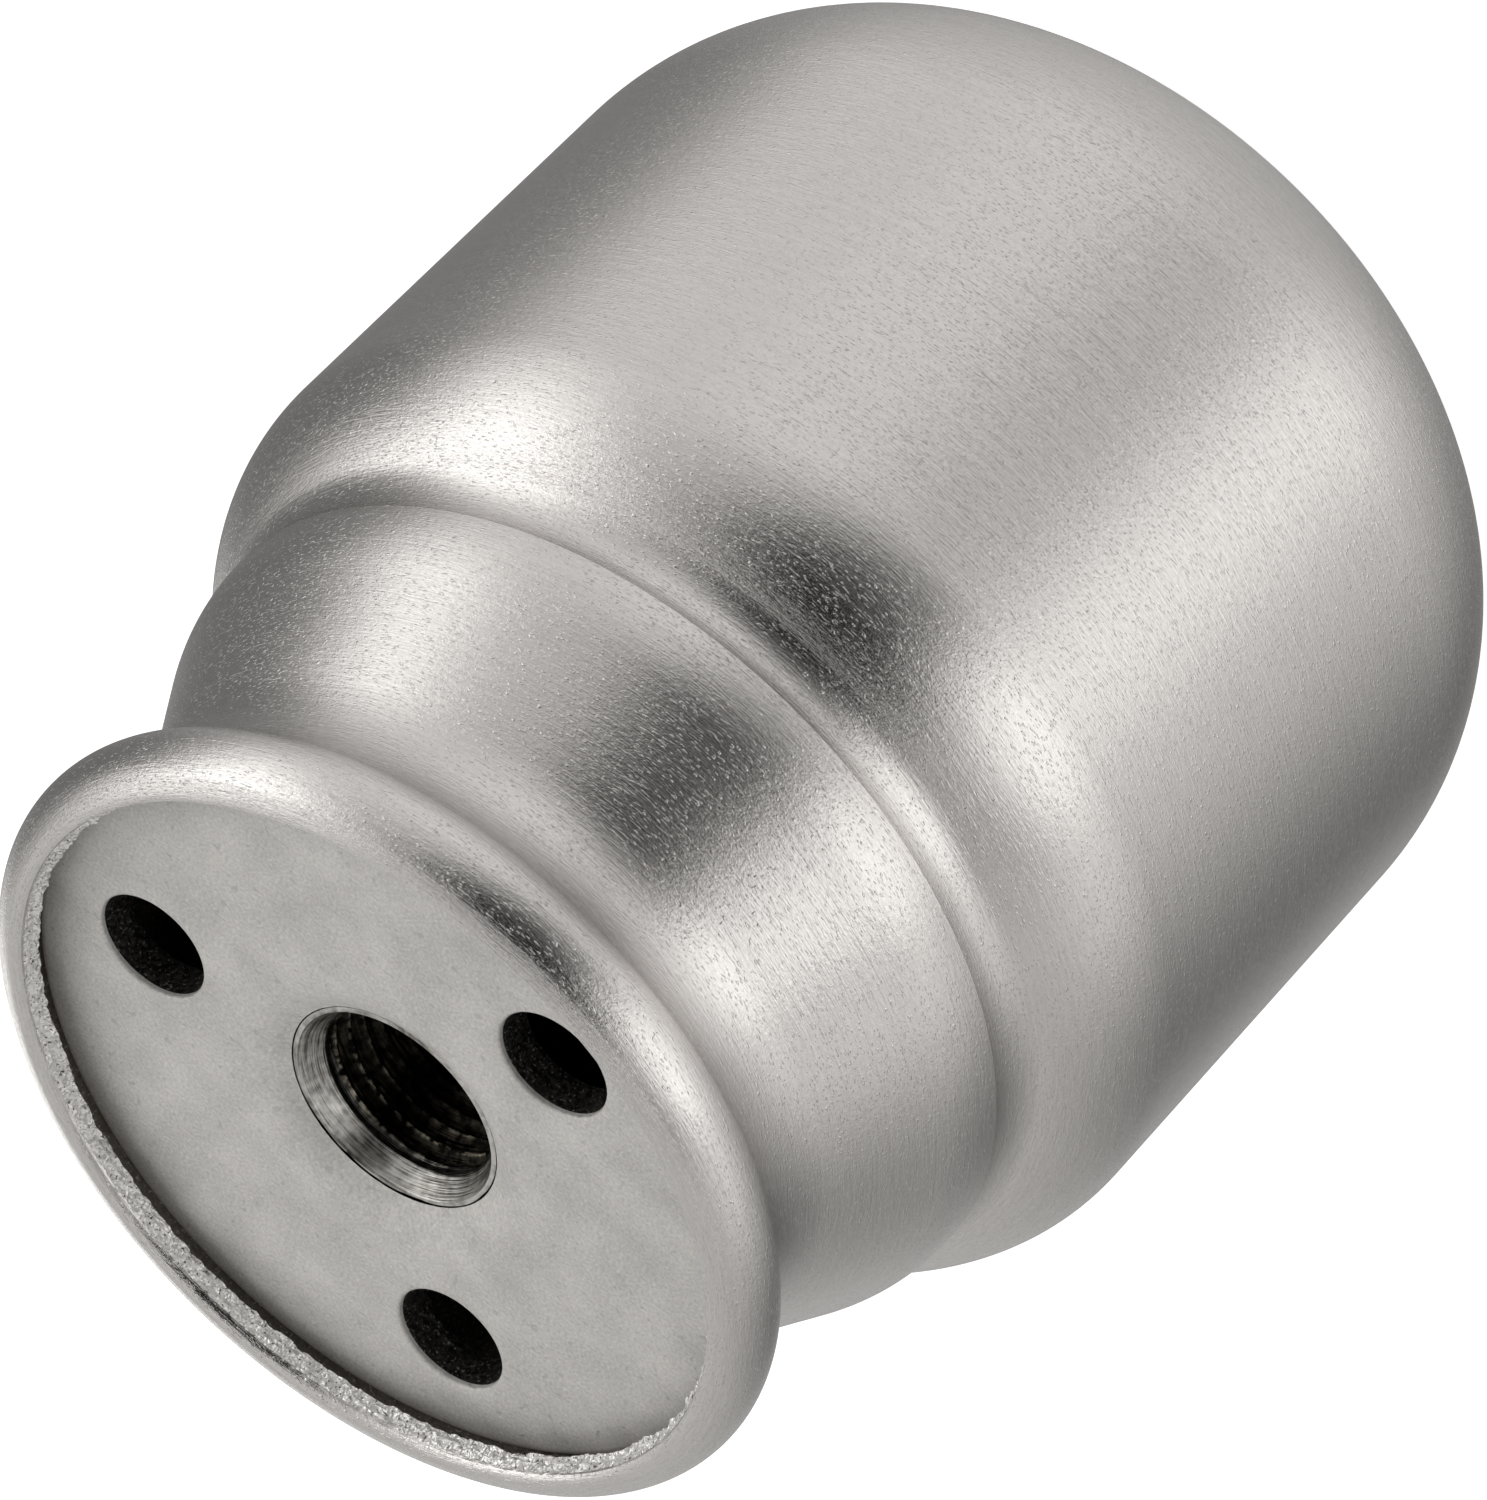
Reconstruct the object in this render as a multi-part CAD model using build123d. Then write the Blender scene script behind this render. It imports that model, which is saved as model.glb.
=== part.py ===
from build123d import *
import math
import os

# A hollow furniture foot of drawn stainless steel, standing on its wide end.
# Z = 0 is the floor, +Z runs up the foot's axis to the mounting end, and a "drop" is a distance
# down from the rim's front at the top. All sizes are in millimetres.

# Shell: outer skin
HEIGHT = 61.2                # floor to the front of the rim
HEAD_RADIUS = 25.0           # the straight cylinder that makes the wide end
FLOOR_CURVE = 13.5           # radius between the flat underside and the cylinder
SHOULDER_DROP = 25.7         # where the cylinder starts to close in
SHOULDER_CURVE = 6.9
BARREL_STEP = 3.55           # the swelling above the shoulder stands this far in from the cylinder
BARREL_DROP = 17.3
BARREL_CURVE = 6.5
GROOVE_DEPTH = 0.25          # of the groove between shoulder and barrel, below the barrel's surface
GROOVE_CURVE = 2.0
NECK_STEP = 7.2              # the narrowest place stands this far in from the cylinder
NECK_DROP = 7.4
RIM_STEP = 4.8               # and the outside of the rolled rim this far
BEAD_CURVE = 2.25            # the rolled rim's own radius
LIP_LAND = 0.45              # flat front of the rim, from the top of its roll to the cut edge
SHEET = 0.7                  # thickness of the drawn sheet

# Mounting plate, seated inside the rim
PLATE_DROP = 2.2             # its face lies this far behind the rim's front
PLATE_THICKNESS = 1.5
PLATE_EDGE = 0.5             # rounding of its upper edge
SCREW_HOLES = 3
SCREW_CIRCLE = 12.7          # radius of the circle that the holes lie on
SCREW_HOLE_RADIUS = 2.75
SCREW_HOLE_EDGE = 0.15
SCREW_MARGIN = 1.0           # least metal between a screw hole and the plate's edge
DIMPLE_RADIUS = 8.0          # the face sinks towards the bush from here
DIMPLE_MARGIN = 0.4          # least flat face between the dimple and a screw hole
DIMPLE_DEPTH = 0.8

# Threaded bush, M10 x 1, pressed into the plate from behind
THREAD_RADIUS = 4.46         # minor radius, the crests of the thread
MOUTH_RADIUS = 5.1           # wide end of the lead-in cone
MOUTH_DEPTH = 1.2
SPIGOT_RADIUS = 5.45         # the part that fills the plate's central hole
BUSH_CLEARANCE = 0.0         # line to line: the bush is pressed in
FLANGE_RADIUS = 7.5
BUSH_LENGTH = 10.0
BUSH_BACK_CHAMFER = 0.5


def meet(first, first_radius, second, second_radius, side):
    """One of the two points that lie at these distances from two centres."""
    dx = second[0] - first[0]
    dy = second[1] - first[1]
    gap = math.hypot(dx, dy)
    along = (first_radius**2 - second_radius**2 + gap**2) / (2 * gap)
    across = side * math.sqrt(first_radius**2 - along**2)
    x = first[0] + (along * dx - across * dy) / gap
    y = first[1] + (along * dy + across * dx) / gap
    return x, y


def toward(start, end, distance):
    """The point at this distance from start, on the line to end."""
    gap = math.hypot(end[0] - start[0], end[1] - start[1])
    x = start[0] + (end[0] - start[0]) * distance / gap
    y = start[1] + (end[1] - start[1]) * distance / gap
    return x, y


# Radii that follow from the cylinder
BARREL_RADIUS = HEAD_RADIUS - BARREL_STEP
GROOVE_FLOOR = BARREL_RADIUS - GROOVE_DEPTH
NECK_RADIUS = HEAD_RADIUS - NECK_STEP
RIM_RADIUS = HEAD_RADIUS - RIM_STEP

# Centres of the skin's curves, as (radius, height)
BEAD = (RIM_RADIUS - BEAD_CURVE, HEIGHT - BEAD_CURVE)
BARREL = (BARREL_RADIUS - BARREL_CURVE, HEIGHT - BARREL_DROP)
SHOULDER = (HEAD_RADIUS - SHOULDER_CURVE, HEIGHT - SHOULDER_DROP)

# The neck is a hollow curve that runs smoothly into the bead
NECK_INSET = NECK_RADIUS - BEAD[0]
NECK_BELOW_BEAD = NECK_DROP - BEAD_CURVE
NECK_CURVE = (NECK_INSET**2 + NECK_BELOW_BEAD**2 - BEAD_CURVE**2) / (2 * (BEAD_CURVE - NECK_INSET))
NECK = (NECK_RADIUS + NECK_CURVE, HEIGHT - NECK_DROP)

# The groove is a hollow curve that runs smoothly into the shoulder and cuts the barrel at an edge
GROOVE_RISE = math.sqrt(
    (SHOULDER_CURVE + GROOVE_CURVE) ** 2 - (GROOVE_FLOOR + GROOVE_CURVE - SHOULDER[0]) ** 2
)
GROOVE = (GROOVE_FLOOR + GROOVE_CURVE, SHOULDER[1] + GROOVE_RISE)


def outer_skin():
    """The outside of the shell in the XZ plane, from the middle of the underside to the lip."""
    shoulder_end = toward(SHOULDER, GROOVE, SHOULDER_CURVE)
    barrel_edge = meet(GROOVE, GROOVE_CURVE, BARREL, BARREL_CURVE, side=-1)
    cone_start, cone_end = neck_cone()
    bead_start = toward(BEAD, NECK, BEAD_CURVE)

    floor = Line((0, 0), (HEAD_RADIUS - FLOOR_CURVE, 0))
    corner = TangentArc([floor @ 1, (HEAD_RADIUS, FLOOR_CURVE)], tangent=(1, 0))
    wall = Line(corner @ 1, (HEAD_RADIUS, SHOULDER[1]))
    shoulder = TangentArc([wall @ 1, shoulder_end], tangent=(0, 1))
    groove = TangentArc([shoulder @ 1, barrel_edge], tangent=shoulder % 1)
    barrel = RadiusArc(groove @ 1, cone_start, -BARREL_CURVE)
    cone = Line(cone_start, cone_end)
    neck = TangentArc([cone @ 1, bead_start], tangent=cone % 1)
    bead = TangentArc([neck @ 1, (BEAD[0], HEIGHT)], tangent=neck % 1)
    lip = Line(bead @ 1, (BEAD[0] - LIP_LAND, HEIGHT))
    return [floor, corner, wall, shoulder, groove, barrel, cone, neck, bead, lip]


def neck_cone():
    """The straight stretch that touches both the barrel's curve and the neck's."""
    dx = NECK[0] - BARREL[0]
    dy = NECK[1] - BARREL[1]
    gap = math.hypot(dx, dy)
    turn = math.acos((BARREL_CURVE + NECK_CURVE) / gap)
    heading = math.atan2(dy, dx) - turn
    start = (
        BARREL[0] + BARREL_CURVE * math.cos(heading),
        BARREL[1] + BARREL_CURVE * math.sin(heading),
    )
    end = (
        NECK[0] - NECK_CURVE * math.cos(heading),
        NECK[1] - NECK_CURVE * math.sin(heading),
    )
    return start, end


def make_shell():
    """Sheet of one thickness that follows the outer skin, closed at the floor, open at the lip."""
    with BuildPart() as shell:
        with BuildSketch(Plane.XZ):
            with BuildLine():
                outer_skin()
                offset(amount=SHEET, side=Side.LEFT)
            make_face()
        revolve(axis=Axis.Z)
    return shell.part


def inside_radius(drop):
    """Radius of the shell's inner surface near the rim, on the bead's curve or the neck's."""
    inner_bead = BEAD_CURVE - SHEET
    join = HEIGHT - toward(BEAD, NECK, inner_bead)[1]
    if drop < join:
        return BEAD[0] + math.sqrt(inner_bead**2 - (drop - BEAD_CURVE) ** 2)
    return NECK[0] - math.sqrt((NECK_CURVE + SHEET) ** 2 - (NECK_DROP - drop) ** 2)


def plate_radius():
    """The plate's edge touches the inside of the shell where the shell is narrower."""
    upper = inside_radius(PLATE_DROP + PLATE_EDGE)
    lower = inside_radius(PLATE_DROP + PLATE_THICKNESS)
    return min(upper, lower)


def screw_circle():
    """The holes' circle, drawn in where the plate is too small for it."""
    return min(SCREW_CIRCLE, plate_radius() - SCREW_HOLE_RADIUS - SCREW_MARGIN)


def dimple_radius():
    """Where the plate's face starts to sink, short of the screw holes."""
    return min(DIMPLE_RADIUS, screw_circle() - SCREW_HOLE_RADIUS - DIMPLE_MARGIN)


def dimple_curve():
    """Radius of the arc that carries the plate's face down to the edge of the central hole."""
    run = dimple_radius() - SPIGOT_RADIUS
    return (run**2 + DIMPLE_DEPTH**2) / (2 * DIMPLE_DEPTH)


def plate_back_at_hole():
    """Height of the plate's back next to the bush, one plate thickness behind the sunk face."""
    curve = dimple_curve()
    run = dimple_radius() - SPIGOT_RADIUS
    depth = curve - math.sqrt(curve**2 - run**2) * (curve - PLATE_THICKNESS) / curve
    return HEIGHT - PLATE_DROP - depth


def make_plate():
    """Round pressed plate with a sunk centre, a hole for the bush and a circle of screw holes."""
    face = HEIGHT - PLATE_DROP
    back = face - PLATE_THICKNESS
    curve = dimple_curve()
    dimple = dimple_radius()
    hole_back = plate_back_at_hole()
    turn = (dimple - SPIGOT_RADIUS) / curve
    back_radius = dimple - (curve - PLATE_THICKNESS) * turn
    hole_radius = SPIGOT_RADIUS + BUSH_CLEARANCE
    edge = plate_radius()

    with BuildPart() as plate:
        with BuildSketch(Plane.XZ):
            with BuildLine():
                sunk = RadiusArc((dimple, face), (hole_radius, face - DIMPLE_DEPTH), -curve)
                wall = Line(sunk @ 1, (hole_radius, hole_back))
                seat = Line(wall @ 1, (back_radius, hole_back))
                bulge = RadiusArc(seat @ 1, (dimple, back), curve - PLATE_THICKNESS)
                under = Line(bulge @ 1, (edge, back))
                side = Line(under @ 1, (edge, face - PLATE_EDGE))
                rounding = RadiusArc(side @ 1, (edge - PLATE_EDGE, face), -PLATE_EDGE)
                Line(rounding @ 1, (dimple, face))
            make_face()
        revolve(axis=Axis.Z)
        with BuildSketch(Plane.XY.offset(face)):
            with PolarLocations(screw_circle(), SCREW_HOLES):
                Circle(SCREW_HOLE_RADIUS)
        extrude(amount=-PLATE_THICKNESS, mode=Mode.SUBTRACT)
        mouths = plate.edges().filter_by(GeomType.CIRCLE).filter_by(
            lambda e: abs(e.radius - SCREW_HOLE_RADIUS) < 1e-6 and abs(e.center().Z - face) < 1e-6
        )
        fillet(mouths, radius=SCREW_HOLE_EDGE)
    return plate.part


def make_bush():
    """Flanged round nut: its spigot stands flush in the plate, its flange bears on the back."""
    top = HEIGHT - PLATE_DROP - DIMPLE_DEPTH
    bottom = top - BUSH_LENGTH
    flange_top = plate_back_at_hole()

    with BuildPart() as bush:
        with BuildSketch(Plane.XZ):
            with BuildLine():
                Polyline(
                    (MOUTH_RADIUS, top),
                    (SPIGOT_RADIUS, top),
                    (SPIGOT_RADIUS, flange_top),
                    (FLANGE_RADIUS, flange_top),
                    (FLANGE_RADIUS, bottom),
                    (THREAD_RADIUS + BUSH_BACK_CHAMFER, bottom),
                    (THREAD_RADIUS, bottom + BUSH_BACK_CHAMFER),
                    (THREAD_RADIUS, top - MOUTH_DEPTH),
                    close=True,
                )
            make_face()
        revolve(axis=Axis.Z)
    return bush.part


parts = {
    "shell": make_shell(),
    "mounting_plate": make_plate(),
    "threaded_bush": make_bush(),
}

os.makedirs("parts", exist_ok=True)
for name, part in parts.items():
    export_step(part, f"parts/{name}.step")
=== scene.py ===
"""Looks of a hollow brushed stainless steel furniture foot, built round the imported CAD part.

The foot stands on its floor face, and its mounting plate faces up. Lengths are in millimetres
until object_from(), Graph.bump() and make_camera() turn them into metres.
"""

import math

import bmesh
import bpy
import numpy as np
from mathutils import Matrix, Vector
from mathutils.geometry import delaunay_2d_cdt

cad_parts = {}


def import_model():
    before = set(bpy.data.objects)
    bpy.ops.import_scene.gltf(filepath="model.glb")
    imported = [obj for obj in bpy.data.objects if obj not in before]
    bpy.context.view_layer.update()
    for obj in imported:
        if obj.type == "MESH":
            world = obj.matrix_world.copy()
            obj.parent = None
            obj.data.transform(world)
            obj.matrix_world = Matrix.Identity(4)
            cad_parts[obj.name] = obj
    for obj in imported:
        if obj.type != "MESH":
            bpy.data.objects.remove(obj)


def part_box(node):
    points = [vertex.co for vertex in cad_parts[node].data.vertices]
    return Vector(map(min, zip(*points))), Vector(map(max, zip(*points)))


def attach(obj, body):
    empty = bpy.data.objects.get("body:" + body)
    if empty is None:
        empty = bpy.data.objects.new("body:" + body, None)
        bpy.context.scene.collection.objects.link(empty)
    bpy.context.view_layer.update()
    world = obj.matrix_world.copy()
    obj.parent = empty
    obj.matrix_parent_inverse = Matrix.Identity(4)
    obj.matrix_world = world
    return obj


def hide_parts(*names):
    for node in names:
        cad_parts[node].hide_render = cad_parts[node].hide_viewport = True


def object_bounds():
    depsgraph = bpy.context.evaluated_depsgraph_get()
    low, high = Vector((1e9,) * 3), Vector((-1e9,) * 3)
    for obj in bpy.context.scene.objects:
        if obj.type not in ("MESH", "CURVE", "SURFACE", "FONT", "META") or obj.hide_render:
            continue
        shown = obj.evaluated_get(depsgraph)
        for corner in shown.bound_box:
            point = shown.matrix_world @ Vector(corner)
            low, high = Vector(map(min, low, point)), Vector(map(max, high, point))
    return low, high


MM = 0.001
TURN = 2 * math.pi

# Camera, in degrees and millimetres: the foot is seen from its mounting end, leaning over.
VIEW_AZIMUTH = -103.835
VIEW_ELEVATION = 35.297
VIEW_ROLL = 135.918
VIEW_DISTANCE = 433.64
VIEW_ASIDE = (-0.100, 1.048)
LENS = 233.46
SENSOR = 36
CLIP_METRES = (0.01, 100)

# Shell: the outer skin is a chain of arcs, each one tangent to the next.
FLOOR_CURVE = 13.5
SHOULDER_DROP = 25.7
SHOULDER_CURVE = 6.9
BARREL_STEP = 3.55
BARREL_DROP = 17.3
BARREL_CURVE = 6.5
GROOVE_DEPTH = 0.25
GROOVE_CURVE = 2.0
NECK_STEP = 7.2
NECK_DROP = 7.4
RIM_STEP = 4.8
BEAD_CURVE = 2.25
SHEET = 0.7
SHELL_SEGMENTS = 960
SHELL_SHARP = math.radians(20)
SHELL_SEED = 7

# The bead is the same all round up to BEAD_FULL, and turns about BEAD_REST more to the lip.
BEAD_FULL = math.radians(50)
BEAD_REST = math.radians(40)
BEAD_SHARES = np.linspace(0, 1, 17)[1:]

# Cut lip of the shell: a circle trimmed a little off centre, torn and slightly turned down.
LIP_RADIUS = 18.16
LIP_OFF_CENTRE = 0.44
LIP_OFF_TOWARD = -103.8
LIP_DROOP = 0.30
LIP_EDGE_IN = 0.34
LIP_EDGE_DROP = 0.85
LIP_ROWS = 8
TEAR_WIDTH = 0.9
TEAR_DEPTH = 0.20
TEAR_FINE = 0.8
TEAR_SINK = 0.7
KNOT_SHIFT = 0.38

# Materials of the shell, by place in its list.
BRUSHED, RAW, TORN = 0, 1, 2

# Mounting plate, with its dimple and its punched screw holes, which break open lower down.
PLATE_EDGE = 0.5
PLATE_SIDE_ROW = 1.0
PLATE_SEGMENTS = 360
PLATE_SHARP = math.radians(50)
DIMPLE_RADIUS = 8.0
DIMPLE_DEPTH = 0.8
DIMPLE_POWER = 2.5
SCREW_HOLES = 3
SCREW_CIRCLE = 12.7
SCREW_HOLE_RADIUS = 2.75
SCREW_HOLE_EDGE = 0.16
SCREW_HOLE_SEGMENTS = 96
SCREW_HOLE_SEED = 100
BREAK_START = 0.5
BREAK_DEPTH = 0.10

# Loose points on the plate's face: steps between them, and gaps that keep them off the outlines.
FACE_RING_STEP = 0.45
FACE_POINT_STEP = 0.5
FACE_INNER_GAP = 0.25
FACE_OUTER_GAP = 0.3
FACE_HOLE_GAP = 0.5
ON_OUTLINE = 0.01
SAME_POINT = 0.002

# Threaded bush. CRACK values shape the ragged gap between its ring and the plate.
SPIGOT_RADIUS = 5.45
SPIGOT_SEGMENTS = 180
SPIGOT_TOP_DROP = 0.2
RING_INSETS = (0.02, 0.06)
RING_DROPS = (0.16, 0.03)
CRACK_WIDTH = 0.26
CRACK_TOWARD = 100
CRACK_STEP = 0.8
CRACK_LEAST = 0.05
CRACK_LIFT = 0.3
MOUTH_RADIUS = 5.15
MOUTH_DEPTH = 1.2
MOUTH_ROWS = 16
THREAD_MINOR = 4.46
THREAD_MAJOR = 5.0
THREAD_PITCH = 1.0
THREAD_ROW_STEP = 0.06
THREAD_START = 0.1
THREAD_STEEPNESS = 1.15
THREAD_FLAT = 0.06
THREAD_ROUGHNESS = 0.012
FLANGE_RADIUS = 7.5
FLANGE_CHAMFER = 0.5
FLANGE_TOP_DROP = 1.2
END_WALL = 0.3
BUSH_SEGMENTS = 288
BUSH_SHARP = math.radians(40)
BUSH_SEED = 3

# Colours: linear red, green and blue.
BRUSHED_DARK = (0.605, 0.590, 0.578)
BRUSHED_LIGHT = (0.735, 0.718, 0.704)
TORN_BRIGHT = (0.95, 0.94, 0.92)
TORN_SPECK = (0.16, 0.15, 0.14)
PLATE_DARK = (0.57, 0.558, 0.54)
PLATE_LIGHT = (0.83, 0.815, 0.79)
TURNED_DARK = (0.20, 0.19, 0.175)
TURNED_LIGHT = (0.66, 0.65, 0.625)
# Painted shade: near-black tones for the bush's threads deep in the bore.
OIL_DARK = (0.003, 0.0028, 0.0025)
OIL_LIGHT = (0.030, 0.026, 0.020)
# Painted highlight: pale yellowish glints on the thread crests.
CREST = (0.42, 0.38, 0.30)
FLOOR_WHITE = (0.86, 0.86, 0.86)
LAMP_WHITE = (1.0, 0.985, 0.965)

# Soft lights and dark flags round the foot: azimuth from the camera, elevation, half widths in
# degrees, how far the azimuth shifts per degree of elevation, edge (1 is soft, and more is
# firmer), and brightness, which is below zero for a flag.
SOFT_LIGHTS = [
    ("tall_softbox_left", -35, 15, 15, 45, 0.0, 2, 0.70),
    ("fill_left", -65, 10, 25, 30, 0.0, 1, 1.10),
    ("key_softbox_right", 115, 35, 20, 10, -0.5, 1, 1.80),
    ("tall_softbox_right", 85, 20, 12, 25, 0.0, 1, 1.30),
    ("fill_front", 40, -40, 25, 20, -0.3, 1, 0.30),
    ("flag_behind_camera", 12, 20, 18, 50, 0.4, 4, -0.38),
    ("flag_right", 120, 5, 40, 50, -0.7, 3, -0.40),
    ("flag_left", -145, -50, 15, 15, 0.5, 1, -0.30),
    ("flag_over_camera", 5, 60, 25, 20, 0.3, 2, -0.20),
    ("low_light", -35, -50, 20, 15, 1.2, 1, 0.30),
    ("edge_light", 172, -12, 7, 6, 0.0, 1, 1.90),
    ("flag_top_left", -50, 35, 35, 50, 0.7, 1, -0.95),
    ("top_light", -140, 85, 100, 8, 0.0, 1, 0.30),
]
BASE_LIGHT = 0.58
LEAST_LIGHT = 0.02
EXPOSURE = 1.06
FLOOR_HALF = 3000.0
FLOOR_GLOW = 0.75


# ---------------------------------------------------------------- mesh helpers

def object_from(name, points, faces):
    """Smooth object from points in millimetres."""
    mesh = bpy.data.meshes.new(name)
    mesh.from_pydata((np.asarray(points) * MM).tolist(), [], faces)
    mesh.validate()
    mesh.shade_smooth()
    return show(name, mesh)


def show(name, mesh):
    piece = bpy.data.objects.new(name, mesh)
    bpy.context.scene.collection.objects.link(piece)
    return piece


def mesh_from_grid(name, grid, close=True, flip=False):
    """Object from grid[row, segment] = (x, y, z); close joins the last segment to the first."""
    rows, count = grid.shape[:2]
    index = np.arange(rows * count).reshape(rows, count)
    after = np.roll(index, -1, axis=1) if close else index[:, 1:]
    here = index if close else index[:, :-1]
    quads = np.stack([here[:-1], after[:-1], after[1:], here[1:]], axis=-1).reshape(-1, 4)
    if flip:
        quads = quads[:, ::-1]
    return object_from(name, grid.reshape(-1, 3), quads.tolist())


def circle_angles(count):
    return np.arange(count) * TURN / count


def polar(radius, angle, height):
    """Points (x, y, z) at a radius, angle and height; radius and height may be single numbers."""
    x = radius * np.cos(angle)
    return np.stack([x, radius * np.sin(angle), height + np.zeros_like(x)], axis=-1)


def turned(radius, height, angle):
    """Grid of points for profile rows of (radius, height) turned through the given angles."""
    return polar(np.asarray(radius)[..., None], angle, np.asarray(height)[..., None])


def torn(rng, angle, width, around):
    """Ragged height round a circle, 0 to 1: straight facets between random points."""
    count = int(around / width)
    knots = (np.arange(count) + rng.uniform(-KNOT_SHIFT, KNOT_SHIFT, count)) * TURN / count
    values = rng.uniform(0, 1, count)
    return np.interp(angle, knots, values, period=TURN)


def store_brushing(piece, along):
    """Keeps x, y and the length along the profile at each vertex: the grain runs round the axis."""
    count = len(piece.data.vertices)
    co = np.zeros(count * 3)
    piece.data.vertices.foreach_get("co", co)
    brush = co.reshape(-1, 3) / MM
    brush[:, 2] = along
    layer = piece.data.attributes.new("brush", "FLOAT_VECTOR", "POINT")
    layer.data.foreach_set("vector", brush.astype(np.float32).ravel())


def close_poles(piece, rows, count):
    """Fills the first ring of a turned grid with a flat disc, and then the last ring."""
    work = bmesh.new()
    work.from_mesh(piece.data)
    work.verts.ensure_lookup_table()
    first = [work.verts[i] for i in range(count)]
    last = [work.verts[(rows - 1) * count + i] for i in range(count)]
    work.faces.new(first[::-1])
    work.faces.new(last)
    work.to_mesh(piece.data)
    work.free()


def join(parts, name, sharp):
    """One object from several, with shared vertices merged."""
    work = bmesh.new()
    for part in parts:
        work.from_mesh(part.data)
    bmesh.ops.remove_doubles(work, verts=work.verts, dist=SAME_POINT * MM)
    mesh = bpy.data.meshes.new(name)
    work.to_mesh(mesh)
    work.free()
    for part in parts:
        bpy.data.objects.remove(part)
    mesh.shade_smooth()
    mesh.set_sharp_from_angle(angle=sharp)
    return show(name, mesh)


# ---------------------------------------------------------------- outline of the shell

def toward(a, b, distance):
    return a + (b - a) * distance / np.hypot(*(b - a))


def meet(a, radius_a, b, radius_b, side):
    """Point shared by two circles, on the given side of the line between their centres."""
    line = b - a
    gap = np.hypot(*line)
    along = (radius_a**2 - radius_b**2 + gap**2) / (2 * gap)
    across = side * math.sqrt(radius_a**2 - along**2)
    return a + (along * line + across * np.array([-line[1], line[0]])) / gap


def arc(centre, start, end, step):
    """Points from start to end round centre, the short way, without the first one."""
    first = math.atan2(*(start - centre)[::-1])
    sweep = (math.atan2(*(end - centre)[::-1]) - first + math.pi) % TURN - math.pi
    radius = np.hypot(*(start - centre))
    count = max(4, round(abs(sweep) * radius / step))
    angle = first + sweep * np.arange(1, count + 1) / count
    return centre + radius * np.stack([np.cos(angle), np.sin(angle)], axis=-1)


def straight(start, end, step):
    """Points from start to end, without the first one."""
    count = max(2, round(np.hypot(*(end - start)) / step))
    return start + (end - start) * (np.arange(1, count + 1) / count)[:, None]


def bead_centre(radius, height):
    return np.array([radius - RIM_STEP - BEAD_CURVE, height - BEAD_CURVE])


def outer_profile(radius, height):
    """Rows (radius, height) of the outer skin, from the axis at the floor to BEAD_FULL."""
    bead = bead_centre(radius, height)
    barrel = np.array([radius - BARREL_STEP - BARREL_CURVE, height - BARREL_DROP])
    shoulder = np.array([radius - SHOULDER_CURVE, height - SHOULDER_DROP])
    floor = np.array([radius - FLOOR_CURVE, FLOOR_CURVE])

    neck_in = radius - NECK_STEP - bead[0]
    neck_below = NECK_DROP - BEAD_CURVE
    neck_curve = (neck_in**2 + neck_below**2 - BEAD_CURVE**2) / (2 * (BEAD_CURVE - neck_in))
    neck = np.array([radius - NECK_STEP + neck_curve, height - NECK_DROP])

    groove_radius = radius - BARREL_STEP - GROOVE_DEPTH + GROOVE_CURVE
    groove_rise = math.sqrt((SHOULDER_CURVE + GROOVE_CURVE)**2 - (groove_radius - shoulder[0])**2)
    groove = np.array([groove_radius, shoulder[1] + groove_rise])

    shoulder_end = toward(shoulder, groove, SHOULDER_CURVE)
    barrel_start = meet(groove, GROOVE_CURVE, barrel, BARREL_CURVE, -1)
    line = neck - barrel
    turn = math.acos((BARREL_CURVE + neck_curve) / np.hypot(*line))
    heading = math.atan2(line[1], line[0]) - turn
    slant = np.array([math.cos(heading), math.sin(heading)])
    cone_start = barrel + BARREL_CURVE * slant
    cone_end = neck - neck_curve * slant
    bead_start = toward(bead, neck, BEAD_CURVE)
    bead_end = bead + BEAD_CURVE * np.array([math.cos(BEAD_FULL), math.sin(BEAD_FULL)])

    start = np.array([0.0, 0.0])
    edge = np.array([floor[0], 0.0])
    wall = np.array([radius, FLOOR_CURVE])
    top = np.array([radius, shoulder[1]])
    # The last number of each line is the step between rows, finer where the curve is tighter.
    return np.vstack([
        [start],
        straight(start, edge, 1.0),
        arc(floor, edge, wall, 0.5),
        straight(wall, top, 1.0),
        arc(shoulder, top, shoulder_end, 0.2),
        arc(groove, shoulder_end, barrel_start, 0.1),
        arc(barrel, barrel_start, cone_start, 0.2),
        straight(cone_start, cone_end, 0.4),
        arc(neck, cone_end, bead_start, 0.15),
        arc(bead, bead_start, bead_end, 0.12),
    ])


def inset(profile, amount):
    """The profile moved inward by amount, square to itself."""
    run = np.gradient(profile, axis=0)
    run /= np.hypot(run[:, 0], run[:, 1])[:, None]
    moved = profile + amount * np.stack([-run[:, 1], run[:, 0]], axis=-1)
    moved[:, 0] = np.maximum(moved[:, 0], 0)
    return moved


# ---------------------------------------------------------------- shell

def bead_rows(radius, height, angle):
    """Last rows of the bead: it ends further in on one side, because the lip is off centre."""
    centre = bead_centre(radius, height)
    near = np.cos(angle - math.radians(LIP_OFF_TOWARD))
    last = np.arccos((LIP_RADIUS + LIP_OFF_CENTRE * near - centre[0]) / BEAD_CURVE)
    droop = LIP_DROOP * (1 - near) / 2
    rows = []
    for share in BEAD_SHARES:
        turn = BEAD_FULL + (last - BEAD_FULL) * share
        out = centre[0] + BEAD_CURVE * np.cos(turn)
        up = centre[1] + BEAD_CURVE * np.sin(turn) - droop * max(0.0, share * 2 - 1)**3
        rows.append(polar(out, angle, up))
    return rows


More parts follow.
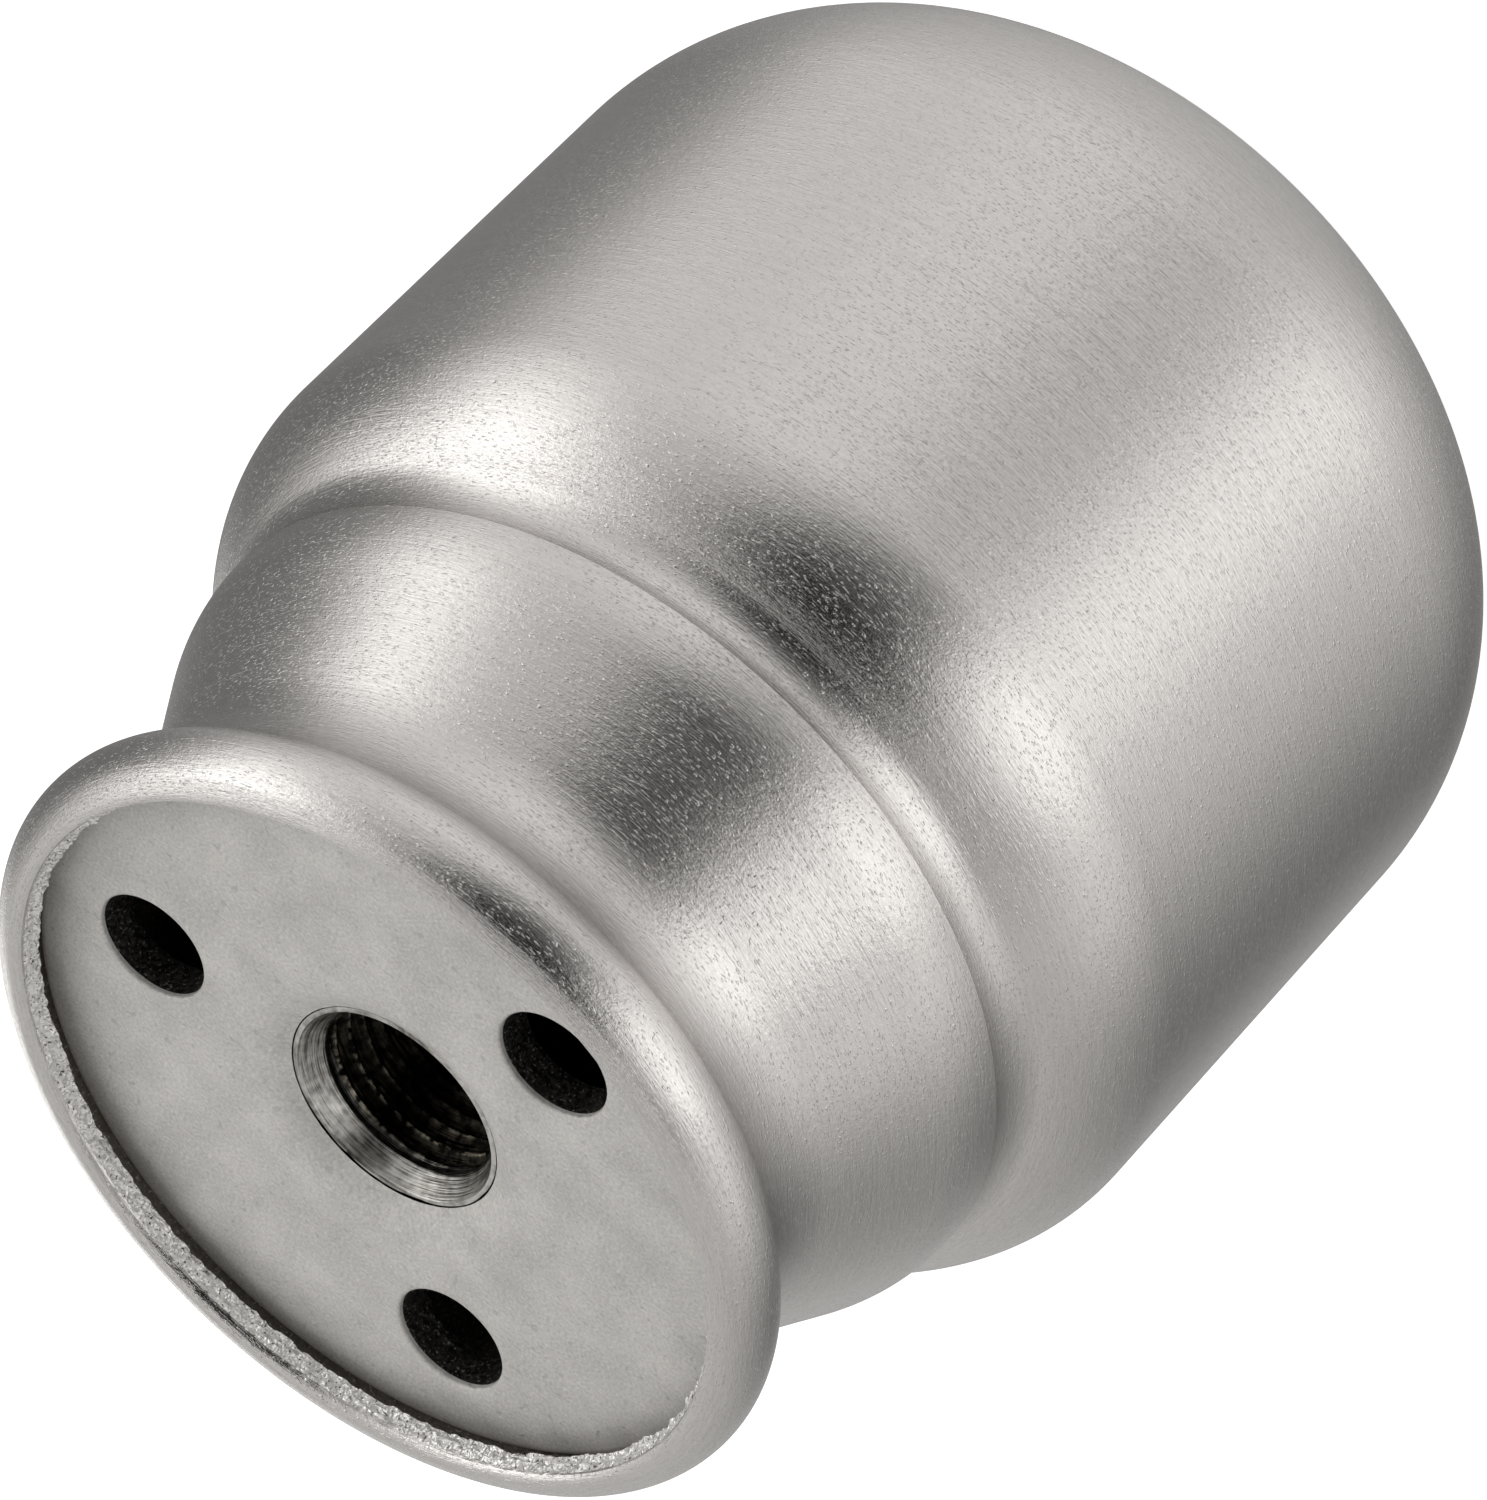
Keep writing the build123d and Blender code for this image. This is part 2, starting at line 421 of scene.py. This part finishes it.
def lip_rows(rng, top, angle):
    """Rows of the torn cut edge, from the end of the bead down to the inside of the shell."""
    around = TURN * LIP_RADIUS
    radial = polar(1.0, angle, 0.0)
    rows = []
    for i in range(1, LIP_ROWS + 1):
        share = i / LIP_ROWS
        grown = min(1.0, 2 * share)
        coarse = torn(rng, angle, TEAR_WIDTH, around) - 0.5
        fine = torn(rng, angle, TEAR_WIDTH / 4, around) - 0.5
        sunk = torn(rng, angle, TEAR_WIDTH / 2, around) - 0.5
        depth = TEAR_DEPTH * (coarse + TEAR_FINE * fine) * grown
        row = top + (depth - LIP_EDGE_IN * share)[:, None] * radial
        row[:, 2] += TEAR_SINK * TEAR_DEPTH * sunk * grown - LIP_EDGE_DROP * share
        rows.append(row)
    return rows


def brushing_run(outer, inner):
    """Length along the profile at each row; on the lip and inside it only has to carry on."""
    run = np.cumsum(np.hypot(*np.diff(outer, axis=0).T))
    run = np.concatenate([run, run[-1] + BEAD_CURVE * BEAD_REST * BEAD_SHARES])
    lip = run[-1] + np.linspace(0.1, 0.8, LIP_ROWS)
    inside = run[-1] + 1 + inner[:-1, 1]
    return np.concatenate([run, lip, inside])


def make_shell(box):
    """Outer skin, torn lip and inside of the shell, as one closed mesh."""
    radius, top = box[1].x / MM, box[1].z / MM
    rng = np.random.default_rng(SHELL_SEED)
    angle = circle_angles(SHELL_SEGMENTS)
    outer = outer_profile(radius, top)
    inner = inset(outer, SHEET)[::-1]
    body = np.concatenate([
        turned(outer[1:, 0], outer[1:, 1], angle), bead_rows(radius, top, angle)])
    lip = lip_rows(rng, body[-1], angle)
    grid = np.concatenate([body, lip, turned(inner[:-1, 0], inner[:-1, 1], angle)])
    shell = mesh_from_grid("steel_shell", grid)
    close_poles(shell, *grid.shape[:2])
    store_brushing(shell, np.repeat(brushing_run(outer, inner), SHELL_SEGMENTS))

    row = np.arange(len(shell.data.polygons)) // SHELL_SEGMENTS
    finish = np.where(row < len(body) + LIP_ROWS - 1, TORN, RAW)
    finish = np.where(row < len(body), BRUSHED, finish).astype(np.int32)
    finish[-2] = BRUSHED    # the disc under the foot, which close_poles adds before the inside one
    shell.data.polygons.foreach_set("material_index", finish)
    shell.data.set_sharp_from_angle(angle=SHELL_SHARP)
    return shell


# ---------------------------------------------------------------- plate

def ring(radius, count, centre=(0.0, 0.0)):
    angle = circle_angles(count)
    return centre + radius * np.stack([np.cos(angle), np.sin(angle)], axis=-1)


def screw_centres():
    return ring(SCREW_CIRCLE, SCREW_HOLES)


def plate_height(points, top):
    """Height of the plate's face: flat, with a soft dimple that leads down to the bush."""
    r = np.hypot(points[:, 0], points[:, 1])
    share = np.clip((DIMPLE_RADIUS - r) / (DIMPLE_RADIUS - SPIGOT_RADIUS), 0, 1)
    return top - DIMPLE_DEPTH * share**DIMPLE_POWER


def loose_points(outline_radius):
    """Points on rings between the spigot and the outline, clear of the screw holes."""
    points = []
    first, last = SPIGOT_RADIUS + FACE_INNER_GAP, outline_radius - FACE_OUTER_GAP
    for radius in np.arange(first, last, FACE_RING_STEP):
        for p in ring(radius, int(TURN * radius / FACE_POINT_STEP)):
            if np.min(np.hypot(*(screw_centres() - p).T)) > SCREW_HOLE_RADIUS + FACE_HOLE_GAP:
                points.append(p)
    return points


def plate_face(outline_radius, hole_radius):
    """Flat triangulation of the plate's face, with its holes left open: points and triangles."""
    loops = [ring(outline_radius, PLATE_SEGMENTS), ring(SPIGOT_RADIUS, SPIGOT_SEGMENTS)]
    loops += [ring(hole_radius, SCREW_HOLE_SEGMENTS, c) for c in screw_centres()]
    edges = []
    start = 0
    for loop in loops:
        count = len(loop)
        edges += [(start + i, start + (i + 1) % count) for i in range(count)]
        start += count
    points = [p for loop in loops for p in loop] + loose_points(outline_radius)
    found = delaunay_2d_cdt([Vector(p) for p in points], edges, [], 0, 1e-7)
    flat = np.array([tuple(v) for v in found[0]])
    middle = np.array([flat[list(f)].mean(axis=0) for f in found[2]])
    keep = np.hypot(*middle.T) > SPIGOT_RADIUS - ON_OUTLINE
    keep &= np.hypot(*middle.T) < outline_radius
    for c in screw_centres():
        keep &= np.hypot(*(middle - c).T) > hole_radius - ON_OUTLINE
    return flat, [list(f) for f, k in zip(found[2], keep) if k]


def plate_side(radius, top, back):
    """Rounded outer edge of the plate."""
    turn = np.linspace(0, math.pi / 2, 7)
    r = np.concatenate([radius - PLATE_EDGE + PLATE_EDGE * np.sin(turn), [radius, radius]])
    z = np.concatenate([top - PLATE_EDGE + PLATE_EDGE * np.cos(turn), [top - PLATE_SIDE_ROW, back]])
    return mesh_from_grid("side", turned(r, z, circle_angles(PLATE_SEGMENTS)), flip=True)


def screw_wall(centre, top, back):
    """Punched wall of a screw hole: a small rolled edge, a smooth band, and a rough break below."""
    rng = np.random.default_rng(int(SCREW_HOLE_SEED + 10 * centre[0] + centre[1]))
    angle = circle_angles(SCREW_HOLE_SEGMENTS)
    turn = np.linspace(0, math.pi / 2, 5)
    r = SCREW_HOLE_RADIUS + SCREW_HOLE_EDGE * (1 - np.sin(turn))
    z = top - SCREW_HOLE_EDGE * (1 - np.cos(turn))
    rows = list(turned(r, z, angle))
    for depth in np.linspace(SCREW_HOLE_EDGE, top - back, 14)[1:]:
        broken = BREAK_DEPTH * min(1.0, max(0.0, depth - BREAK_START)) * (depth < top - back)
        radius = SCREW_HOLE_RADIUS + broken * rng.uniform(-1, 0.6, len(angle))
        rows.append(polar(radius, angle, top - depth))
    return mesh_from_grid("wall", np.array(rows) + [*centre, 0.0])


def make_plate(box):
    """Face, underside, outer edge and screw holes; the underside and the screw holes' walls below
    their rolled edges are painted near black as shade.
    """
    low, high = box
    radius, top, back = high.x / MM, high.z / MM, low.z / MM
    flat, faces = plate_face(radius - PLATE_EDGE, SCREW_HOLE_RADIUS + SCREW_HOLE_EDGE)
    face = object_from("face", np.column_stack([flat, plate_height(flat, top)]), faces)
    flat, faces = plate_face(radius, SCREW_HOLE_RADIUS)
    under = np.column_stack([flat, np.full(len(flat), back)])
    under = object_from("under", under, [f[::-1] for f in faces])
    # Painted shade: the underside takes the plate's near-black second material.
    under.data.polygons.foreach_set("material_index", [1] * len(under.data.polygons))
    walls = [screw_wall(c, top, back) for c in screw_centres()]
    # Painted shade on the screw-hole walls below their rolled edges.
    dark_below = (top - 1.5 * SCREW_HOLE_EDGE) * MM
    for wall in walls:
        index = [int(p.center.z < dark_below) for p in wall.data.polygons]
        wall.data.polygons.foreach_set("material_index", index)
    parts = [face, under, plate_side(radius, top, back)] + walls
    return join(parts, "mounting_plate_steel", PLATE_SHARP)


# ---------------------------------------------------------------- bush

def bore_rows(rng, top, length, angle):
    """Lead-in cone and right-hand helical thread, from the mouth down."""
    cone_depth = np.linspace(0, MOUTH_DEPTH, MOUTH_ROWS)
    thread_depth = np.arange(MOUTH_DEPTH + THREAD_ROW_STEP, length, THREAD_ROW_STEP)
    depth = np.concatenate([cone_depth, thread_depth, [length]])[:, None]
    turn_share = (depth / THREAD_PITCH + angle[None, :] / TURN) % 1.0
    tooth = np.clip(np.abs(turn_share - 0.5) * 2 * THREAD_STEEPNESS - THREAD_FLAT, 0, 1)
    cut_in = np.clip((depth - MOUTH_DEPTH + THREAD_START) / THREAD_PITCH, 0, 1)
    thread = THREAD_MINOR + (THREAD_MAJOR - THREAD_MINOR) * (1 - tooth) * cut_in
    cone = MOUTH_RADIUS - (MOUTH_RADIUS - THREAD_MINOR) * depth / MOUTH_DEPTH
    bore = np.maximum(thread, cone)
    bore = bore + THREAD_ROUGHNESS * rng.uniform(-1, 1, bore.shape) * cut_in
    return polar(bore, angle, top - depth)


def ring_rows(rng, top, angle):
    """Top edge of the ring, with the ragged crack that it leaves against the plate."""
    crack = CRACK_WIDTH * torn(rng, angle, CRACK_STEP, TURN * SPIGOT_RADIUS)**2
    crack *= np.maximum(CRACK_LEAST, np.cos(angle - math.radians(CRACK_TOWARD)))
    lifted = top - RING_DROPS[1] + CRACK_LIFT * crack
    return np.stack([
        polar(SPIGOT_RADIUS - RING_INSETS[0] - crack, angle, top - RING_DROPS[0]),
        polar(SPIGOT_RADIUS - RING_INSETS[1] - crack, angle, lifted),
    ])


def make_bush(box):
    """Bush with its ring, its flange under the plate and its threaded bore, as one closed mesh."""
    low, high = box
    top, bottom = high.z / MM, low.z / MM
    rng = np.random.default_rng(BUSH_SEED)
    angle = circle_angles(BUSH_SEGMENTS)
    bore = bore_rows(rng, top, top - bottom, angle)
    flange_top = top - FLANGE_TOP_DROP
    outside = [
        (THREAD_MAJOR + END_WALL, bottom),
        (FLANGE_RADIUS - FLANGE_CHAMFER, bottom),
        (FLANGE_RADIUS, bottom + FLANGE_CHAMFER),
        (FLANGE_RADIUS, flange_top),
        (SPIGOT_RADIUS, flange_top),
        (SPIGOT_RADIUS, top - SPIGOT_TOP_DROP),
    ]
    outside = turned(*np.transpose(outside), angle)
    grid = np.concatenate([outside, ring_rows(rng, top, angle), bore, outside[:1]])
    bush = mesh_from_grid("thread_bush_steel", grid)
    bush.data.set_sharp_from_angle(angle=BUSH_SHARP)
    return bush


# ---------------------------------------------------------------- node helpers

class Graph:
    """Short names for building a node tree."""

    def __init__(self, tree):
        self.tree = tree
        tree.nodes.clear()

    def node(self, kind, **inputs):
        made = self.tree.nodes.new(kind)
        for key, value in inputs.items():
            self.feed(made.inputs[key.replace("_", " ")], value)
        return made

    def feed(self, socket, value):
        if isinstance(value, bpy.types.NodeSocket):
            self.tree.links.new(value, socket)
        else:
            socket.default_value = value

    def math(self, operation, a, b=0.0, clamp=False):
        made = self.tree.nodes.new("ShaderNodeMath")
        made.operation = operation
        made.use_clamp = clamp
        self.feed(made.inputs[0], a)
        self.feed(made.inputs[1], b)
        return made.outputs[0]

    def weighted(self, *terms):
        """Sum of (value, weight) pairs."""
        total = None
        for value, weight in terms:
            share = self.math("MULTIPLY", value, weight)
            total = share if total is None else self.math("ADD", total, share)
        return total

    def wrap(self, value, low, high):
        made = self.tree.nodes.new("ShaderNodeMath")
        made.operation = "WRAP"
        self.feed(made.inputs[0], value)
        made.inputs[1].default_value = high
        made.inputs[2].default_value = low
        return made.outputs[0]

    def scaled(self, vector, scale):
        made = self.tree.nodes.new("ShaderNodeVectorMath")
        made.operation = "MULTIPLY"
        self.feed(made.inputs[0], vector)
        made.inputs[1].default_value = scale
        return made.outputs[0]

    def length_of(self, vector):
        made = self.tree.nodes.new("ShaderNodeVectorMath")
        made.operation = "LENGTH"
        self.feed(made.inputs[0], vector)
        return made.outputs["Value"]

    def place_in_mm(self):
        """Where the surface point is on its piece, in millimetres."""
        point = self.node("ShaderNodeTexCoord").outputs["Object"]
        return self.scaled(point, (1 / MM, 1 / MM, 1 / MM))

    def noise(self, vector, detail=2.0, roughness=0.5, scale=1.0):
        made = self.node("ShaderNodeTexNoise", Vector=vector, Scale=scale, Detail=detail,
                         Roughness=roughness)
        return made.outputs["Fac"]

    def spread(self, value, low, high, to_low=0.0, to_high=1.0):
        """Value between low and high moved to between to_low and to_high, and clamped there."""
        made = self.tree.nodes.new("ShaderNodeMapRange")
        self.feed(made.inputs["Value"], value)
        made.inputs["From Min"].default_value = low
        made.inputs["From Max"].default_value = high
        made.inputs["To Min"].default_value = to_low
        made.inputs["To Max"].default_value = to_high
        return made.outputs["Result"]

    def blend(self, share, a, b):
        made = self.tree.nodes.new("ShaderNodeMix")
        made.data_type = "RGBA"
        self.feed(made.inputs["Factor"], share)
        self.feed(next(i for i in made.inputs if i.name == "A" and i.type == "RGBA"), a)
        self.feed(next(i for i in made.inputs if i.name == "B" and i.type == "RGBA"), b)
        return next(o for o in made.outputs if o.type == "RGBA")

    def tint(self, share, low, high):
        return self.blend(share, (*low, 1.0), (*high, 1.0))

    def bump(self, height, distance):
        made = self.node("ShaderNodeBump", Height=height, Strength=1.0, Distance=distance * MM)
        return made.outputs["Normal"]

    def surface(self, **inputs):
        """Joins a principled shader to the output."""
        shader = self.node("ShaderNodeBsdfPrincipled", **inputs)
        self.node("ShaderNodeOutputMaterial", Surface=shader.outputs[0])


def new_material(name):
    material = bpy.data.materials.new(name)
    material.use_nodes = True
    return material, Graph(material.node_tree)


# ---------------------------------------------------------------- materials

def brushed_steel():
    """Stainless steel brushed round the axis: short streaks, fine glints, and a few ring lines."""
    material, g = new_material("brushed_steel_shell")
    brush = g.node("ShaderNodeAttribute")
    brush.attribute_name = "brush"
    brush = brush.outputs["Vector"]

    def streaks(round_axis, along, detail, roughness=0.5):
        return g.noise(g.scaled(brush, (round_axis, round_axis, along)), detail, roughness)

    short = streaks(1.0, 10.0, detail=3.0, roughness=0.75)
    long = streaks(0.35, 6.0, detail=2.0, roughness=0.6)
    grain = streaks(4.5, 7.0, detail=3.0, roughness=0.75)
    cloud = streaks(0.10, 0.16, detail=3.0)
    glints = g.spread(streaks(4.0, 14.0, detail=0.0), 0.66, 0.80)
    rings = g.spread(streaks(0.05, 9.0, detail=0.0), 0.74, 0.80)

    tone = g.weighted((short, 0.4), (long, 0.25), (grain, 0.35))
    colour = g.tint(g.spread(tone, 0.35, 0.65), BRUSHED_DARK, BRUSHED_LIGHT)
    roughness = g.spread(g.weighted((long, 0.5), (cloud, 0.5)), 0.35, 0.65, 0.12, 0.18)
    height = g.weighted((short, 1.1), (grain, 0.7), (long, 0.5), (glints, 0.70), (rings, -0.25))

    tangent = g.node("ShaderNodeTangent")
    tangent.direction_type = "RADIAL"
    tangent.axis = "Z"
    g.surface(Base_Color=colour, Roughness=roughness, Normal=g.bump(height, 0.024), Metallic=1.0,
              Tangent=tangent.outputs[0], Anisotropic=0.5, Anisotropic_Rotation=0.25)
    return material


def raw_steel(name, dark, light):
    """Unfinished inside of the sheet and punched walls: dull, brownish and speckled; given
    near-black tones, it is the painted shade in the screw holes and under the plate.
    """
    material, g = new_material(name)
    mm = g.place_in_mm()
    scale = g.noise(mm, detail=3.0, scale=5.0)
    fleck = g.spread(g.noise(mm, detail=1.0, scale=7.0), 0.62, 0.72)
    share = g.math("ADD", g.spread(scale, 0.40, 1.6), fleck, clamp=True)
    colour = g.tint(share, (dark, 0.9 * dark, 0.8 * dark), (light, 0.97 * light, 0.92 * light))
    g.surface(Base_Color=colour, Roughness=0.50, Normal=g.bump(scale, 0.05), Metallic=0.5)
    return material


def torn_steel():
    """Bright torn edge of the sheet: shiny little facets with dark specks between them."""
    material, g = new_material("torn_steel_lip")
    mm = g.place_in_mm()
    facet = g.noise(mm, detail=2.0, scale=2.2)
    speck = g.spread(g.noise(mm, detail=1.0, scale=6.0), 0.62, 0.70)
    colour = g.tint(speck, TORN_BRIGHT, TORN_SPECK)
    g.surface(Base_Color=colour, Roughness=0.20, Normal=g.bump(facet, 0.40), Metallic=0.45)
    return material


def pickled_steel():
    """Dull grey plate steel with a faint mottle, small dark pits and pale specks."""
    material, g = new_material("pickled_steel_plate")
    mm = g.place_in_mm()
    mottle = g.noise(mm, detail=4.0, roughness=0.6, scale=0.35)
    grain = g.noise(mm, detail=2.0, scale=6.0)
    pits = g.spread(g.noise(mm, detail=0.0, scale=2.2), 0.74, 0.80)
    speck = g.spread(g.noise(mm, detail=0.0, scale=4.0), 0.72, 0.78)
    tone = g.weighted((mottle, 0.45), (grain, 0.55), (pits, -0.12), (speck, 0.10))
    colour = g.tint(g.spread(tone, 0.35, 0.65), PLATE_DARK, PLATE_LIGHT)
    roughness = g.spread(mottle, 0.3, 0.7, 0.40, 0.52)
    height = g.weighted((grain, 0.6), (pits, -0.8))
    g.surface(Base_Color=colour, Roughness=roughness, Normal=g.bump(height, 0.02), Metallic=0.15)
    return material


def turned_steel(mouth_end):
    """Machined bush steel: turning marks on the lead-in, painted shade that makes the threads near
    black below mouth_end, and painted highlights on the thread crests.
    """
    material, g = new_material("turned_steel_bush")
    mm = g.place_in_mm()
    height = g.node("ShaderNodeSeparateXYZ", Vector=mm).outputs["Z"]
    marks = g.noise(g.scaled(mm, (0.5, 0.5, 14.0)), detail=2.0)
    grime = g.noise(mm, detail=3.0, scale=2.2)
    # Painted shade: below mouth_end the bore is painted near black, with a ragged edge.
    bright = g.math("ADD", height, g.math("MULTIPLY", grime, 0.5))
    bright = g.spread(bright, mouth_end - 0.3, mouth_end + 0.5)
    worn = g.spread(g.weighted((marks, 0.6), (grime, 0.4)), 0.38, 0.60)
    clean = g.tint(worn, TURNED_DARK, TURNED_LIGHT)
    oily = g.tint(g.spread(grime, 0.40, 0.70), OIL_DARK, OIL_LIGHT)
    axis_gap = g.length_of(g.scaled(mm, (1.0, 1.0, 0.0)))
    # Painted highlight: lighter thread crests, in patches, fading deeper in the bore.
    crest = g.spread(axis_gap, THREAD_MINOR + 0.13, THREAD_MINOR)
    crest = g.math("MULTIPLY", crest, g.spread(grime, 0.45, 0.65))
    crest = g.math("MULTIPLY", crest, g.spread(height, mouth_end - 3.0, mouth_end - 0.5))
    oily = g.blend(crest, oily, (*CREST, 1.0))
    # Painted shade over the bore, and clean turned steel on the lead-in.
    colour = g.blend(bright, oily, clean)
    roughness = g.spread(marks, 0.3, 0.7, 0.24, 0.38)
    g.surface(Base_Color=colour, Roughness=roughness, Normal=g.bump(marks, 0.03), Metallic=1.0)
    return material


def pale_floor():
    material, g = new_material("pale_floor")
    g.surface(Base_Color=(*FLOOR_WHITE, 1.0), Roughness=0.9,
              Emission_Color=(1.0, 1.0, 1.0, 1.0), Emission_Strength=FLOOR_GLOW)
    return material


# ---------------------------------------------------------------- studio

def studio_light():
    """Soft light from all round, brighter and darker by direction, as SOFT_LIGHTS makes it."""
    world = bpy.data.worlds.new("studio")
    bpy.context.scene.world = world
    world.use_nodes = True
    g = Graph(world.node_tree)
    look = g.node("ShaderNodeTexCoord").outputs["Generated"]
    split = g.node("ShaderNodeSeparateXYZ", Vector=look)
    elevation = g.math("ARCSINE", split.outputs["Z"])
    azimuth = g.math("ARCTAN2", split.outputs["Y"], split.outputs["X"])

    def fade(gap, half_width, edge):
        share = g.math("DIVIDE", gap, math.radians(half_width))
        return g.math("POWER", g.math("ABSOLUTE", share), 2 * edge)

    total = BASE_LIGHT
    for name, bearing, rise, wide, tall, tilt, edge, power in SOFT_LIGHTS:
        lift = g.math("SUBTRACT", elevation, math.radians(rise))
        aside = g.math("SUBTRACT", azimuth, math.radians(bearing + VIEW_AZIMUTH))
        aside = g.math("SUBTRACT", aside, g.math("MULTIPLY", lift, tilt))
        aside = g.wrap(aside, -math.pi, math.pi)
        gap = g.math("ADD", fade(aside, wide, edge), fade(lift, tall, edge))
        blob = g.math("EXPONENT", g.math("MULTIPLY", gap, -0.5))
        blob.node.label = name
        total = g.math("ADD", g.math("MULTIPLY", blob, power), total)
    total = g.math("MULTIPLY", g.math("MAXIMUM", total, LEAST_LIGHT), EXPOSURE)
    back = g.node("ShaderNodeBackground", Strength=total, Color=(*LAMP_WHITE, 1.0))
    g.node("ShaderNodeOutputWorld", Surface=back.outputs[0])


def make_floor():
    """Wide white floor at the foot's standing face, left out of reflections."""
    half = FLOOR_HALF
    grid = np.array([[[x, y, 0.0] for x in (-half, half)] for y in (-half, half)])
    floor = mesh_from_grid("floor", grid, close=False)
    floor.data.materials.append(pale_floor())
    floor.visible_glossy = False


def make_camera(box):
    """Camera on the ray that VIEW_AZIMUTH and VIEW_ELEVATION give, turned about its own axis."""
    low, high = box
    azimuth, elevation, roll = (math.radians(a) for a in (VIEW_AZIMUTH, VIEW_ELEVATION, VIEW_ROLL))
    back = Vector((math.cos(azimuth) * math.cos(elevation), math.sin(azimuth) * math.cos(elevation),
                   math.sin(elevation)))
    level = Vector((0, 0, 1)).cross(back).normalized()
    upright = back.cross(level)
    up = math.cos(roll) * upright + math.sin(roll) * level
    right = up.cross(back)
    middle = Vector((0, 0, (low.z + high.z) / 2))
    aim = middle + MM * (VIEW_ASIDE[0] * level + VIEW_ASIDE[1] * upright)
    camera = bpy.data.objects.new("camera", bpy.data.cameras.new("camera"))
    camera.data.lens = LENS
    camera.data.sensor_width = SENSOR
    camera.data.clip_start, camera.data.clip_end = CLIP_METRES
    turn = Matrix((right, up, back)).transposed().to_4x4()
    camera.matrix_world = Matrix.Translation(aim + back * VIEW_DISTANCE * MM) @ turn
    bpy.context.scene.collection.objects.link(camera)
    bpy.context.scene.camera = camera


# ---------------------------------------------------------------- build

def place(piece, node, slot, *materials):
    """Gives a piece its materials and lets it stand for its CAD node."""
    indices = [p.material_index for p in piece.data.polygons]
    piece.data.materials.clear()
    for material in materials:
        piece.data.materials.append(material)
    piece.data.polygons.foreach_set("material_index", indices)
    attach(piece, "root")
    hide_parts(node)


def build():
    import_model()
    cad_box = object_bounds()
    nodes = ("shell", "mounting_plate", "threaded_bush")
    shell_box, plate_box, bush_box = (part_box(node) for node in nodes)
    mouth_end = bush_box[1].z / MM - MOUTH_DEPTH
    place(make_shell(shell_box), "shell", "shell_steel",
          brushed_steel(), raw_steel("raw_steel_inside", 0.30, 0.70), torn_steel())
    # The plate's second material is near black: painted shade in the screw holes and under the
    # plate.
    place(make_plate(plate_box), "mounting_plate", "plate_steel",
          pickled_steel(), raw_steel("punched_wall_painted_shade", 0.006, 0.30))
    place(make_bush(bush_box), "threaded_bush", "bush_steel", turned_steel(mouth_end))
    studio_light()
    make_floor()
    make_camera(cad_box)
    bpy.context.scene.view_settings.view_transform = "Standard"


build()
